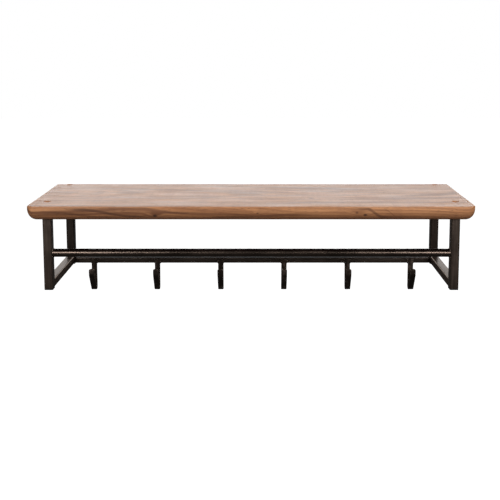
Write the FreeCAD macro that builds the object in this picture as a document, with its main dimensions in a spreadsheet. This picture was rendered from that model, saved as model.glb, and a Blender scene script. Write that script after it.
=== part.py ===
import FreeCAD, Part
import os
import Sketcher

from FreeCAD import Placement, Rotation, Vector

# A wall coat rack: a thick wooden shelf board screwed down onto two U-shaped side frames of square
# steel tube, with a round hanging rail between the front uprights and a hook bar between the rear
# ones.  Millimetres.  +X is to the right as seen from the front, the front faces -Y and +Z is up.
# The wall is the plane Y = 0, and the origin lies midway between the two wall screw holes.

DRIVING_SIZES = [
    # shelf board
    ("board_length", 900, "board, side to side"),
    ("board_depth", 250, "board, wall to front edge"),
    ("board_thickness", 30, "board, underside to top"),
    ("board_corner_radius", 15, "front corners, seen from above"),
    ("board_under_round", 21, "round under the front edge and both ends"),
    ("board_top_ease", 2, "small round along the top edges"),
    # welded frame
    ("board_end_overhang", 21.5, "board past the outer face of each side frame"),
    ("board_front_overhang", 42, "board past the front faces of the front uprights"),
    ("frame_height", 152, "underside of the board to the bottom of the tubes"),
    ("tube_side", 18, "square tube of the side frames, outside"),
    ("tube_wall", 1.5, "square tubes and rail, wall"),
    ("tube_corner", 2, "square tubes, outer corner radius"),
    ("bar_side", 12.7, "square tube of the hook bar, outside"),
    ("rail_diameter", 17.2, "hanging rail, outside"),
    ("rail_height", 74.5, "bottom of the tubes to the rail's axis"),
    # hooks
    ("hook_end_gap", 45.5, "outermost hook's middle to the inner face of the side frame"),
    ("hook_width", 12.5, "flat strip, width"),
    ("hook_thickness", 4, "flat strip, thickness"),
    ("hook_drop", 60, "bottom of the hook bar to the bottom of a hook"),
    ("hook_lap", 10.5, "stem's overlap on the front of the hook bar"),
    ("hook_bend", 3, "inside radius of the bend"),
    ("hook_reach", 31, "stem to tip, middle of strip to middle of strip"),
    ("hook_rise", 55, "bottom of a hook to the middle of its tip"),
    ("hook_tip_round", 4, "corner radius of the free end"),
    # screws that hold the board
    ("screw_diameter", 6, "thread"),
    ("screw_clearance", 0.6, "added to the thread for the hole in the board"),
    ("thread_gap", 0.1, "added to the thread for the tapped hole"),
    ("screw_head", 10.5, "button head, diameter"),
    ("screw_head_height", 3.3, "button head, height"),
    ("screw_rim_height", 1.3, "button head, straight part of the head"),
    ("screw_crown", 7.1, "button head, diameter of its flat top"),
    ("screw_socket", 4, "hexagon socket, across flats"),
    ("screw_runout", 1.5, "screw's end below the tapped plate"),
    ("washer_diameter", 12, "flat washer, outside"),
    ("washer_thickness", 1.6, "flat washer"),
    ("counterbore_clearance", 1, "added to the washer for the counterbore"),
    ("counterbore_depth", 12, "from the top of the board"),
    ("tapped_plate_thickness", 6, "plate in the top of each upright"),
    # wall plates, foot plugs, weld beads
    ("wall_hole_drop", 22, "underside of the board to the wall screw holes"),
    ("wall_hole", 6.5, "wall screw hole, diameter"),
    ("wall_plate_width", 31, "out from the upright"),
    ("wall_plate_gap", 4, "top of the wall plate to the underside of the board"),
    ("wall_plate_thickness", 3, "wall plate"),
    ("plug_flange", 2.5, "foot plug, thickness under the tube"),
    ("plug_depth", 10, "foot plug, length inside the tube"),
    ("plug_gap", 0.1, "foot plug to the tube's inner wall, each side"),
    ("weld_leg", 2.5, "leg of every weld bead"),
]

# Places worked out from the driving sizes, as spreadsheet expressions.
HOOK_COUNT = 6
BOARD_BOTTOM = "Sizes.wall_hole_drop"
UNDER_ROUND = "min(Sizes.board_under_round; Sizes.board_thickness - Sizes.board_top_ease - 2)"
TUBE_BOTTOM = f"({BOARD_BOTTOM} - Sizes.frame_height)"
OUTER_FACE_X = "(Sizes.board_length / 2 - Sizes.board_end_overhang)"
UPRIGHT_X = f"({OUTER_FACE_X} - Sizes.tube_side / 2)"
INNER_FACE_X = f"({OUTER_FACE_X} - Sizes.tube_side)"
INNER_SPAN = f"(2 * {INNER_FACE_X})"
HOOK_PITCH = f"(2 * ({INNER_FACE_X} - Sizes.hook_end_gap) / {HOOK_COUNT - 1})"
REAR_Y = "(-Sizes.tube_side / 2)"
REAR_FRONT_FACE_Y = "(-Sizes.tube_side)"
FRONT_FACE_Y = "(Sizes.board_front_overhang - Sizes.board_depth)"
FRONT_Y = f"({FRONT_FACE_Y} + Sizes.tube_side / 2)"
FRONT_BACK_FACE_Y = f"({FRONT_FACE_Y} + Sizes.tube_side)"
SIDE_BAR_Z = f"({TUBE_BOTTOM} + Sizes.tube_side / 2)"
SIDE_BAR_TOP_Z = f"({TUBE_BOTTOM} + Sizes.tube_side)"
HOOK_BAR_Y = f"({REAR_FRONT_FACE_Y} + Sizes.bar_side / 2)"
HOOK_BAR_Z = f"({TUBE_BOTTOM} + Sizes.bar_side / 2)"
HOOK_BAR_TOP_Z = f"({TUBE_BOTTOM} + Sizes.bar_side)"
HOOK_BAR_FLAT = "(Sizes.bar_side - 2 * Sizes.tube_corner)"
RAIL_Z = f"({TUBE_BOTTOM} + Sizes.rail_height)"
TUBE_FLAT = "(Sizes.tube_side - 2 * Sizes.tube_corner)"
TUBE_BORE = "(Sizes.tube_side - 2 * Sizes.tube_wall)"
SCREW_SEAT_Z = f"({BOARD_BOTTOM} + Sizes.board_thickness - Sizes.counterbore_depth)"
WALL_PLATE_HEIGHT = "(2 * (Sizes.wall_hole_drop - Sizes.wall_plate_gap))"

UP = Rotation()
ALONG_X = Rotation(Vector(0, 1, 0), 90)
ALONG_Y = Rotation(Vector(1, 0, 0), -90)

UPRIGHTS = {
    "front_left": (f"-{UPRIGHT_X}", FRONT_Y),
    "front_right": (UPRIGHT_X, FRONT_Y),
    "rear_left": (f"-{UPRIGHT_X}", REAR_Y),
    "rear_right": (UPRIGHT_X, REAR_Y),
}

doc = FreeCAD.newDocument("coat_rack")
nodes = []


# ---------------------------------------------------------------- sheet and general helpers

def make_sheet():
    sheet = doc.addObject("Spreadsheet::Sheet", "Sizes")
    sheet.Label = "Sizes"
    for row, (alias, value, meaning) in enumerate(DRIVING_SIZES, start=1):
        sheet.set(f"A{row}", alias)
        sheet.set(f"B{row}", str(value))
        sheet.setAlias(f"B{row}", alias)
        sheet.set(f"C{row}", meaning)
    doc.recompute()
    return sheet


def bind(thing, **expressions):
    """Tie properties of an object to expressions."""
    for prop, expression in expressions.items():
        thing.setExpression(prop, expression)


def place(thing, x="0", y="0", z="0", turn=UP):
    """Put an object at a place worked out from the sheet, turned as given."""
    thing.Placement = Placement(Vector(), turn)
    for axis, expression in (("x", x), ("y", y), ("z", z)):
        thing.setExpression(f"Placement.Base.{axis}", expression)


def node(thing, label):
    thing.Label = label
    nodes.append(thing)
    return thing


def axes(x, y, z):
    """The rotation that carries the local axes onto three given directions."""
    return Rotation(Vector(*x), Vector(*y), Vector(*z), "ZXY")


# ---------------------------------------------------------------- Part primitives

def primitive(kind, name, spot=("0", "0", "0"), turn=UP, **sizes):
    thing = doc.addObject(f"Part::{kind}", name)
    bind(thing, **sizes)
    place(thing, *spot, turn=turn)
    return thing


def cut(name, base, tool):
    thing = doc.addObject("Part::Cut", name)
    thing.Base = base
    thing.Tool = tool
    return thing


def fuse(name, shapes):
    thing = doc.addObject("Part::MultiFuse", name)
    thing.Shapes = shapes
    return thing


def common(name, shapes):
    thing = doc.addObject("Part::MultiCommon", name)
    thing.Shapes = shapes
    return thing


def group(name, links):
    """Separate solids that share one node."""
    thing = doc.addObject("Part::Compound", name)
    thing.Links = links
    return thing


# ---------------------------------------------------------------- PartDesign helpers

def make_body(label):
    return node(doc.addObject("PartDesign::Body", label), label)


def make_sketch(body, name, plane="XY_Plane"):
    sketch = body.newObject("Sketcher::SketchObject", name)
    origin_plane = next(f for f in body.Origin.OriginFeatures if f.Role == plane)
    sketch.AttachmentSupport = (origin_plane, "")
    sketch.MapMode = "FlatFace"
    return sketch


def dimension(sketch, name, expression, *constraint):
    """Add a named dimension and tie it to the sheet."""
    index = sketch.addConstraint(Sketcher.Constraint(*constraint))
    sketch.renameConstraint(index, name)
    sketch.setExpression(f"Constraints.{name}", expression)


def rectangle(sketch, width, height):
    """A rectangle centred on the sketch's origin."""
    corners = [Vector(-5, -5), Vector(5, -5), Vector(5, 5), Vector(-5, 5)]
    for start, end in zip(corners, corners[1:] + corners[:1]):
        sketch.addGeometry(Part.LineSegment(start, end))
    for side in range(4):
        sketch.addConstraint(Sketcher.Constraint("Coincident", side, 2, (side + 1) % 4, 1))
        sketch.addConstraint(Sketcher.Constraint("Horizontal" if side % 2 == 0 else "Vertical", side))
    sketch.addConstraint(Sketcher.Constraint("Symmetric", 0, 1, 1, 2, -1, 1))
    dimension(sketch, "width", width, "DistanceX", 0, 1, 0, 2, 10)
    dimension(sketch, "height", height, "DistanceY", 1, 1, 1, 2, 10)


def circle(sketch, diameter):
    """A circle centred on the sketch's origin."""
    index = sketch.addGeometry(Part.Circle(Vector(), Vector(0, 0, 1), 5))
    sketch.addConstraint(Sketcher.Constraint("Coincident", index, 3, -1, 1))
    dimension(sketch, f"diameter{index}", diameter, "Diameter", index, 10)


def pad(body, name, sketch, length, symmetric=False, reverse=False):
    feature = body.newObject("PartDesign::Pad", name)
    feature.Profile = sketch
    feature.Midplane = symmetric
    feature.Reversed = reverse
    bind(feature, Length=length)
    doc.recompute()
    return feature


def pocket_through(body, name, sketch):
    feature = body.newObject("PartDesign::Pocket", name)
    feature.Profile = sketch
    feature.Type = "ThroughAll"
    feature.Midplane = True
    doc.recompute()
    check_cut(feature)
    return feature


def check_cut(feature):
    """A cut that points the wrong way removes nothing and says nothing, so compare volumes."""
    before = feature.BaseFeature.Shape.Volume
    if not before - feature.Shape.Volume > 1.0:
        raise RuntimeError(f"{feature.Label} removed nothing")


def fillet(body, name, base, wanted, radius):
    """Round every edge of the base feature that the wanted() test picks."""
    names = [f"Edge{i}" for i, edge in enumerate(base.Shape.Edges, start=1) if wanted(edge)]
    feature = body.newObject("PartDesign::Fillet", name)
    feature.Base = (base, names)
    bind(feature, Radius=radius)
    doc.recompute()
    return feature


def is_upright(edge):
    """A straight edge that runs along Z."""
    straight = edge.Curve.TypeId == "Part::GeomLine"
    return straight and abs(edge.tangentAt(edge.FirstParameter).z) > 0.999


# ---------------------------------------------------------------- shelf board

def corner_cutter(sketch, side, edge_x):
    """The waste outside a quarter round: two short sides on the board's faces and the arc between."""
    reach = 20
    first = sketch.GeometryCount
    corner = Vector(side * 100, 0)
    inner = Vector(side * (100 - reach), 0)
    upper = Vector(side * 100, reach)
    centre = Vector(side * (100 - reach), reach)
    sketch.addGeometry(Part.LineSegment(corner, inner))
    sketch.addGeometry(Part.LineSegment(corner, upper))
    middle = centre + Vector(side * 0.7071 * reach, -0.7071 * reach)
    sketch.addGeometry(Part.Arc(inner, middle, upper))
    arc = first + 2
    low_end, high_end = (1, 2) if side > 0 else (2, 1)
    for constraint in (
        ("Coincident", first, 1, first + 1, 1),
        ("Horizontal", first),
        ("Vertical", first + 1),
        ("Tangent", first, 2, arc, low_end),
        ("Tangent", first + 1, 2, arc, high_end),
        ("PointOnObject", first, 1, -1),
    ):
        sketch.addConstraint(Sketcher.Constraint(*constraint))
    dimension(sketch, f"round{first}", UNDER_ROUND, "Radius", arc, reach)
    ends = (-1, 1, first, 1) if side > 0 else (first, 1, -1, 1)
    dimension(sketch, f"edge{first}", edge_x, "DistanceX", *ends, 100)


def hole_pattern(sketch, diameter):
    """One circle over each upright, in the board's own frame: Y = 0 at the wall edge."""
    for index, (x, y) in enumerate(UPRIGHTS.values()):
        side_x = -1 if x.startswith("-") else 1
        sketch.addGeometry(Part.Circle(Vector(side_x * 100, -50 - 10 * index), Vector(0, 0, 1), 4))
        dimension(sketch, f"diameter{index}", diameter, "Diameter", index, 8)
        ends = (-1, 1, index, 3) if side_x > 0 else (index, 3, -1, 1)
        dimension(sketch, f"across{index}", UPRIGHT_X, "DistanceX", *ends, 100)
        dimension(sketch, f"back{index}", f"-{y}", "DistanceY", index, 3, -1, 1, 50 + 10 * index)


def shelf_board():
    body = make_body("shelf_board")
    place(body, z=BOARD_BOTTOM)

    plan = make_sketch(body, "board_plan")
    bind(plan, **{"AttachmentOffset.Base.y": "-Sizes.board_depth / 2"})
    rectangle(plan, "Sizes.board_length", "Sizes.board_depth")
    blank = pad(body, "board_blank", plan, "Sizes.board_thickness")

    def front_corner(edge):
        return is_upright(edge) and edge.CenterOfMass.y < -1

    rounded = fillet(body, "board_corners", blank, front_corner, "Sizes.board_corner_radius")

    under_ends = make_sketch(body, "board_under_ends", "XZ_Plane")
    for side in (-1, 1):
        corner_cutter(under_ends, side, "Sizes.board_length / 2")
    pocket_through(body, "board_end_rounds", under_ends)

    under_front = make_sketch(body, "board_under_front", "YZ_Plane")
    corner_cutter(under_front, -1, "Sizes.board_depth")
    lower = pocket_through(body, "board_front_round", under_front)

    top = rounded.Shape.BoundBox.ZMax

    def top_edge(edge):
        box = edge.BoundBox
        return abs(box.ZMin - top) < 1e-6 and abs(box.ZMax - top) < 1e-6

    fillet(body, "board_top_edges", lower, top_edge, "Sizes.board_top_ease")

    through = make_sketch(body, "screw_holes")
    hole_pattern(through, "Sizes.screw_diameter + Sizes.screw_clearance")
    pocket_through(body, "screw_hole_cuts", through)

    seats = make_sketch(body, "counterbores")
    bind(seats, **{"AttachmentOffset.Base.z": "Sizes.board_thickness"})
    hole_pattern(seats, "Sizes.washer_diameter + Sizes.counterbore_clearance")
    counterbore = body.newObject("PartDesign::Pocket", "counterbore_cuts")
    counterbore.Profile = seats
    bind(counterbore, Length="Sizes.counterbore_depth")
    doc.recompute()
    check_cut(counterbore)


# ---------------------------------------------------------------- tubes

def square_tube(label, length, spot, turn=UP, side="Sizes.tube_side"):
    """A length of square tube, its section centred on the local Z axis and starting at the spot."""
    body = make_body(label)
    place(body, *spot, turn=turn)
    outside = make_sketch(body, f"{label}_outside")
    rectangle(outside, side, side)
    bar = pad(body, f"{label}_bar", outside, length)
    fillet(body, f"{label}_corners", bar, is_upright, "Sizes.tube_corner")
    inside = make_sketch(body, f"{label}_inside")
    bore = f"({side} - 2 * Sizes.tube_wall)"
    rectangle(inside, bore, bore)
    pocket_through(body, f"{label}_bore", inside)


def hanging_rail():
    body = make_body("hanging_rail")
    place(body, f"-{INNER_FACE_X}", FRONT_Y, RAIL_Z, turn=ALONG_X)
    ring = make_sketch(body, "rail_ring")
    circle(ring, "Sizes.rail_diameter")
    circle(ring, "Sizes.rail_diameter - 2 * Sizes.tube_wall")
    pad(body, "rail_tube", ring, INNER_SPAN)


def frame_tubes():
    for corner, (x, y) in UPRIGHTS.items():
        end, side = corner.split("_")
        square_tube(f"{end}_upright_{side}", "Sizes.frame_height", (x, y, TUBE_BOTTOM))
    for side, x in (("left", f"-{UPRIGHT_X}"), ("right", UPRIGHT_X)):
        length = f"{REAR_FRONT_FACE_Y} - {FRONT_BACK_FACE_Y}"
        square_tube(f"side_bar_{side}", length, (x, FRONT_BACK_FACE_Y, SIDE_BAR_Z), ALONG_Y)
    square_tube("hook_bar", INNER_SPAN, (f"-{INNER_FACE_X}", HOOK_BAR_Y, HOOK_BAR_Z), ALONG_X,
                "Sizes.bar_side")


# ---------------------------------------------------------------- hooks

def hook_profile(sketch):
    """The strip seen from its edge: stem down, a tight bend, and a limb that leans forward.

    The sketch's origin is on the strip's back face, level with the bottom of the hook bar.
    """
    thick = 4
    bend = 3
    outer = bend + thick
    centre = Vector(-outer, -55)
    lean = Vector(-0.42, 0.907)
    side = Vector(-0.907, -0.42)
    limb = 50
    stem_back = Vector(0, 12)
    stem_front = Vector(-thick, 12)
    back_low = Vector(0, centre.y)
    front_low = Vector(-thick, centre.y)
    outer_end = centre + side * outer
    inner_end = centre + side * bend
    outer_tip = outer_end + lean * limb
    inner_tip = inner_end + lean * limb
    lines = [
        (stem_front, stem_back),
        (stem_back, back_low),
        (outer_end, outer_tip),
        (outer_tip, inner_tip),
        (inner_tip, inner_end),
        (front_low, stem_front),
    ]
    for start, end in lines:
        sketch.addGeometry(Part.LineSegment(start, end))
    lowest = Vector(0.4, -0.917)
    sketch.addGeometry(Part.Arc(outer_end, centre + lowest * outer, back_low))
    sketch.addGeometry(Part.Arc(inner_end, centre + lowest * bend, front_low))
    top, back, limb_outer, tip, limb_inner, front, outer_arc, inner_arc = range(8)
    for constraint in (
        ("Coincident", top, 2, back, 1),
        ("Coincident", front, 2, top, 1),
        ("Coincident", limb_outer, 2, tip, 1),
        ("Coincident", tip, 2, limb_inner, 1),
        ("Tangent", back, 2, outer_arc, 2),
        ("Tangent", limb_outer, 1, outer_arc, 1),
        ("Tangent", limb_inner, 2, inner_arc, 1),
        ("Tangent", front, 1, inner_arc, 2),
        ("Coincident", outer_arc, 3, inner_arc, 3),
        ("Horizontal", top),
        ("Vertical", back),
        ("Vertical", front),
        ("Parallel", limb_inner, limb_outer),
        ("Perpendicular", tip, limb_outer),
        ("PointOnObject", back, 1, -2),
    ):
        sketch.addConstraint(Sketcher.Constraint(*constraint))
    middle = sketch.addGeometry(Part.Point((outer_tip + inner_tip) * 0.5), True)
    sketch.addConstraint(Sketcher.Constraint("Symmetric", tip, 1, tip, 2, middle, 1))
    dimension(sketch, "thickness", "Sizes.hook_thickness", "DistanceX", top, 1, top, 2, thick)
    dimension(sketch, "lap", "Sizes.hook_lap", "DistanceY", -1, 1, back, 1, 12)
    dimension(sketch, "bend", "Sizes.hook_bend", "Radius", inner_arc, bend)
    centre_drop = "Sizes.hook_drop - Sizes.hook_bend - Sizes.hook_thickness"
    dimension(sketch, "drop", centre_drop, "DistanceY", outer_arc, 3, -1, 1, 55)
    reach = "Sizes.hook_reach + Sizes.hook_thickness / 2"
    dimension(sketch, "reach", reach, "DistanceX", middle, 1, -1, 1, 33)
    below = "Sizes.hook_drop - Sizes.hook_rise"
    dimension(sketch, "tip_level", below, "DistanceY", middle, 1, -1, 1, 4)


def hook(number):
    body = make_body(f"hook_{number}")
    steps = number - (HOOK_COUNT + 1) / 2
    place(body, f"{steps} * {HOOK_PITCH}", REAR_FRONT_FACE_Y, TUBE_BOTTOM)
    profile = make_sketch(body, f"hook_{number}_profile", "YZ_Plane")
    hook_profile(profile)
    strip = pad(body, f"hook_{number}_strip", profile, "Sizes.hook_width", symmetric=True)

    sheet = doc.Sizes
    tip_y = -(sheet.hook_reach + sheet.hook_thickness / 2)
    tip_z = sheet.hook_rise - sheet.hook_drop

    def tip_corner(edge):
        middle = edge.CenterOfMass
        on_side = abs(abs(middle.x) - sheet.hook_width / 2) < 1e-3
        return on_side and abs(middle.y - tip_y) < 0.1 and abs(middle.z - tip_z) < 0.1

    fillet(body, f"hook_{number}_tip", strip, tip_corner, "Sizes.hook_tip_round")


# ---------------------------------------------------------------- fasteners and small pieces

def tapped_plate(corner):
    """The plate welded inside the top of an upright, flush with its end."""
    x, y = UPRIGHTS[corner]
    body = make_body(f"tapped_plate_{corner}")
    place(body, x, y, f"{BOARD_BOTTOM} - Sizes.tapped_plate_thickness")
    outline = make_sketch(body, f"{corner}_plate_outline")
    rectangle(outline, TUBE_BORE, TUBE_BORE)
    pad(body, f"{corner}_plate", outline, "Sizes.tapped_plate_thickness")
    tapping = make_sketch(body, f"{corner}_plate_tapping")
    circle(tapping, "Sizes.screw_diameter + Sizes.thread_gap")
    pocket_through(body, f"{corner}_plate_hole", tapping)


def washer(corner, x, y):
    disc = primitive("Cylinder", f"disc_{corner}", (x, y, SCREW_SEAT_Z),
                     Radius="Sizes.washer_diameter / 2", Height="Sizes.washer_thickness")
    hole = primitive("Cylinder", f"disc_hole_{corner}", (x, y, SCREW_SEAT_Z),
                     Radius="(Sizes.screw_diameter + Sizes.screw_clearance) / 2",
                     Height="Sizes.washer_thickness")
    return cut(f"washer_{corner}", disc, hole)


def screw(corner, x, y):
    """A button-head screw with a hexagon socket, its head on the washer."""
    seat = f"{SCREW_SEAT_Z} + Sizes.washer_thickness"
    length = (f"({SCREW_SEAT_Z} + Sizes.washer_thickness - {BOARD_BOTTOM}"
              " + Sizes.tapped_plate_thickness + Sizes.screw_runout)")
    shank = primitive("Cylinder", f"shank_{corner}", (x, y, f"{seat} - {length}"),
                      Radius="Sizes.screw_diameter / 2", Height=length)
    rim = primitive("Cylinder", f"rim_{corner}", (x, y, seat),
                    Radius="Sizes.screw_head / 2", Height="Sizes.screw_rim_height")
    crown_foot = f"{seat} + Sizes.screw_rim_height"
    crown = primitive("Cone", f"crown_{corner}", (x, y, crown_foot),
                      Radius1="Sizes.screw_head / 2", Radius2="Sizes.screw_crown / 2",
                      Height="Sizes.screw_head_height - Sizes.screw_rim_height")
    socket = primitive("Prism", f"socket_{corner}", (x, y, crown_foot),
                       Circumradius="Sizes.screw_socket / 2 / cos(30 deg)",
                       Height="Sizes.screw_head_height")
    socket.Polygon = 6
    return cut(f"screw_{corner}", fuse(f"screw_blank_{corner}", [shank, rim, crown]), socket)


def foot_plug(corner):
    """A plastic plug that closes the bottom of an upright: a flange under it and a stub inside."""
    x, y = UPRIGHTS[corner]
    body = make_body(f"foot_plug_{corner}")
    place(body, x, y, TUBE_BOTTOM)
    flange = make_sketch(body, f"{corner}_flange_outline")
    rectangle(flange, "Sizes.tube_side", "Sizes.tube_side")
    plate = pad(body, f"{corner}_flange", flange, "Sizes.plug_flange", reverse=True)
    fillet(body, f"{corner}_flange_corners", plate, is_upright, "Sizes.tube_corner")
    stub = make_sketch(body, f"{corner}_stub_outline")
    inside = f"{TUBE_BORE} - 2 * Sizes.plug_gap"
    rectangle(stub, inside, inside)
    pad(body, f"{corner}_stub", stub, "Sizes.plug_depth")


def wall_plate(side, sign):
    """A flat plate on the inner face of a rear upright, with the hole for a wall screw."""
    body = make_body(f"wall_plate_{side}")
    middle = f"({INNER_FACE_X} - Sizes.wall_plate_width / 2)"
    place(body, f"{sign} * {middle}", "0", "0")
    outline = make_sketch(body, f"{side}_wall_outline", "XZ_Plane")
    rectangle(outline, "Sizes.wall_plate_width", WALL_PLATE_HEIGHT)
    pad(body, f"{side}_wall_blank", outline, "Sizes.wall_plate_thickness")
    hole = make_sketch(body, f"{side}_wall_hole", "XZ_Plane")
    circle(hole, "Sizes.wall_hole")
    pocket_through(body, f"{side}_wall_drilling", hole)


# ---------------------------------------------------------------- weld beads

def bead(name, length, spot, turn):
    """A three-sided bead: equal legs along the local X and Y, its length along the local Z."""
    return primitive("Wedge", name, spot, turn, Xmin="0", Xmax="Sizes.weld_leg", Ymin="0",
                     Ymax="Sizes.weld_leg", Zmin="0", Zmax=length, X2min="0", X2max="0",
                     Z2min="0", Z2max=length)


def rail_welds():
    """Beads above and below each end of the rail, no wider than the upright's flat face."""
    beads = []
    for side, sign, turn in (("left", -1, ALONG_X), ("right", 1, Rotation(Vector(0, 1, 0), -90))):
        spot = (f"{sign} * {INNER_FACE_X}", FRONT_Y, RAIL_Z)
        ring = primitive("Cone", f"rail_ring_{side}", spot, turn,
                         Radius1="Sizes.rail_diameter / 2 + Sizes.weld_leg",
                         Radius2="Sizes.rail_diameter / 2", Height="Sizes.weld_leg")
        rail = primitive("Cylinder", f"rail_core_{side}", spot, turn,
                         Radius="Sizes.rail_diameter / 2", Height="Sizes.weld_leg")
        tall = "(Sizes.rail_diameter + 4 * Sizes.weld_leg)"
        corner = (f"{sign} * {INNER_FACE_X} - Sizes.weld_leg * 2", f"{FRONT_Y} - {TUBE_FLAT} / 2",
                  f"{RAIL_Z} - {tall} / 2")
        window = primitive("Box", f"rail_window_{side}", corner, Length="4 * Sizes.weld_leg",
                           Width=TUBE_FLAT, Height=tall)
        beads.append(common(f"rail_bead_{side}", [cut(f"rail_collar_{side}", ring, rail), window]))
    node(group("rail_welds", beads), "rail_welds")


def frame_welds():
    """Beads in the inner corners where the side bars and the hook bar meet the uprights."""
    half = f"{TUBE_FLAT} / 2"
    beads = []
    for side, sign in (("left", "-1"), ("right", "1")):
        x = f"{sign} * {UPRIGHT_X}"
        front = (f"{x} - {half}", FRONT_BACK_FACE_Y, SIDE_BAR_TOP_Z)
        rear = (f"{x} + {half}", REAR_FRONT_FACE_Y, SIDE_BAR_TOP_Z)
        beads.append(bead(f"front_corner_bead_{side}", TUBE_FLAT, front,
                          axes((0, 1, 0), (0, 0, 1), (1, 0, 0))))
        beads.append(bead(f"rear_corner_bead_{side}", TUBE_FLAT, rear,
                          axes((0, -1, 0), (0, 0, 1), (-1, 0, 0))))
    bar_half = f"{HOOK_BAR_FLAT} / 2"
    left = (f"-{INNER_FACE_X}", f"{HOOK_BAR_Y} + {bar_half}", HOOK_BAR_TOP_Z)
    right = (INNER_FACE_X, f"{HOOK_BAR_Y} - {bar_half}", HOOK_BAR_TOP_Z)
    beads.append(bead("bar_bead_left", HOOK_BAR_FLAT, left, axes((1, 0, 0), (0, 0, 1), (0, -1, 0))))
    beads.append(bead("bar_bead_right", HOOK_BAR_FLAT, right, axes((-1, 0, 0), (0, 0, 1), (0, 1, 0))))
    node(group("frame_welds", beads), "frame_welds")


def hook_welds():
    """A bead down each side of every hook's stem, on the flat of the hook bar's front face."""
    beads = []
    length = "(Sizes.hook_lap - Sizes.tube_corner)"
    low = f"{TUBE_BOTTOM} + Sizes.tube_corner"
    high = f"{TUBE_BOTTOM} + Sizes.hook_lap"
    for number in range(1, HOOK_COUNT + 1):
        steps = number - (HOOK_COUNT + 1) / 2
        right = f"{steps} * {HOOK_PITCH} + Sizes.hook_width / 2"
        left = f"{steps} * {HOOK_PITCH} - Sizes.hook_width / 2"
        beads.append(bead(f"hook_bead_right_{number}", length, (right, REAR_FRONT_FACE_Y, high),
                          axes((1, 0, 0), (0, -1, 0), (0, 0, -1))))
        beads.append(bead(f"hook_bead_left_{number}", length, (left, REAR_FRONT_FACE_Y, low),
                          axes((-1, 0, 0), (0, -1, 0), (0, 0, 1))))
    node(group("hook_welds", beads), "hook_welds")


def wall_plate_welds():
    """A bead down the front of each wall plate, in the corner with its upright."""
    half = f"({WALL_PLATE_HEIGHT} / 2 - Sizes.weld_leg)"
    front = "-Sizes.wall_plate_thickness"
    length = f"2 * {half}"
    right = bead("plate_bead_right", length, (INNER_FACE_X, front, f"-{half}"),
                 axes((-1, 0, 0), (0, -1, 0), (0, 0, 1)))
    left = bead("plate_bead_left", length, (f"-{INNER_FACE_X}", front, half),
                axes((1, 0, 0), (0, -1, 0), (0, 0, -1)))
    node(group("wall_plate_welds", [left, right]), "wall_plate_welds")


# ---------------------------------------------------------------- build, check, write

def check_document():
    for thing in doc.Objects:
        if {"Invalid", "Error"} & set(thing.State):
            raise RuntimeError(f"{thing.Label} did not build: {thing.State}")
        if thing.TypeId == "Sketcher::SketchObject" and not thing.FullyConstrained:
            raise RuntimeError(f"{thing.Label} is not fully constrained")
    for piece in nodes:
        shape = piece.Shape
        if shape.isNull() or not shape.isValid() or not shape.Solids:
            raise RuntimeError(f"{piece.Label} has no valid solid")


def main():
    make_sheet()
    shelf_board()
    frame_tubes()
    hanging_rail()
    for number in range(1, HOOK_COUNT + 1):
        hook(number)
    screws = []
    washers = []
    for corner, (x, y) in UPRIGHTS.items():
        tapped_plate(corner)
        foot_plug(corner)
        screws.append(screw(corner, x, y))
        washers.append(washer(corner, x, y))
    node(group("board_screws", screws), "board_screws")
    node(group("board_washers", washers), "board_washers")
    wall_plate("left", "-1")
    wall_plate("right", "1")
    rail_welds()
    frame_welds()
    hook_welds()
    wall_plate_welds()
    doc.recompute()
    check_document()
    os.makedirs("parts", exist_ok=True)
    for piece in nodes:
        piece.Shape.exportStep(f"parts/{piece.Label}.step")
    print(f"{len(nodes)} nodes written")


main()
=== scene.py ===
import math

import bmesh
import bpy
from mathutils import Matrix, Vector, noise


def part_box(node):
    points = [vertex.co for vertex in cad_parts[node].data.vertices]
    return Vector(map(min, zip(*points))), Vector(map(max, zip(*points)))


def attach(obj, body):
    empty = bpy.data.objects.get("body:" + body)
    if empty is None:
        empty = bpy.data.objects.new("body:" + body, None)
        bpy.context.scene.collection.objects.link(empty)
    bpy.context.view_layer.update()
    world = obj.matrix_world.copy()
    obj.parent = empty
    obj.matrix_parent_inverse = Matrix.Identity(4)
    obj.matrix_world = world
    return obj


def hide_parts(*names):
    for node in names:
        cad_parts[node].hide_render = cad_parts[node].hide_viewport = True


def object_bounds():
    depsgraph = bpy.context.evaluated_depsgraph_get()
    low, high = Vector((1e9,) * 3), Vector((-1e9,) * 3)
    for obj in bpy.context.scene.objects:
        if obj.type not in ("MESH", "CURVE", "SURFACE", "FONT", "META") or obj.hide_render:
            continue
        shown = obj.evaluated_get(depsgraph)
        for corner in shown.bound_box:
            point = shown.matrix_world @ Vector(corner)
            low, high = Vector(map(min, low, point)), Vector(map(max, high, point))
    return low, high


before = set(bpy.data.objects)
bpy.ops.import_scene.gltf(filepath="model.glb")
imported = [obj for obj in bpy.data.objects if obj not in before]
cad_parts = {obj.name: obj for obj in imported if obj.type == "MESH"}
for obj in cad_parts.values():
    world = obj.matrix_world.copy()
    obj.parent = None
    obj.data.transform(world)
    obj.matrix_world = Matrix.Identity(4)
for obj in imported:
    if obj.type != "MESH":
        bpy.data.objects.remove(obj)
CAD_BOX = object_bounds()

BOARD_LOW, BOARD_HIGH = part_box("shelf_board")

MM = 0.001
CORNERS = ("front_left", "front_right", "rear_left", "rear_right")
HOOKS = [f"hook_{number}" for number in range(1, 7)]
SIDES = {"left": -1, "right": 1}
ROUND_STEPS = 48  # points in a full circle
CORNER_STEPS = 6  # spans in a rounded corner of a square part


# ---------------------------------------------------------------- small helpers


def middle(node):
    """The middle of a CAD piece's box."""
    low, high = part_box(node)
    return (low + high) / 2


def new_object(name, data):
    made = bpy.data.objects.new(name, data)
    bpy.context.scene.collection.objects.link(made)
    return made


def mesh_from_bmesh(name, bm):
    mesh = bpy.data.meshes.new(name)
    bm.to_mesh(mesh)
    bm.free()
    return mesh


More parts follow.
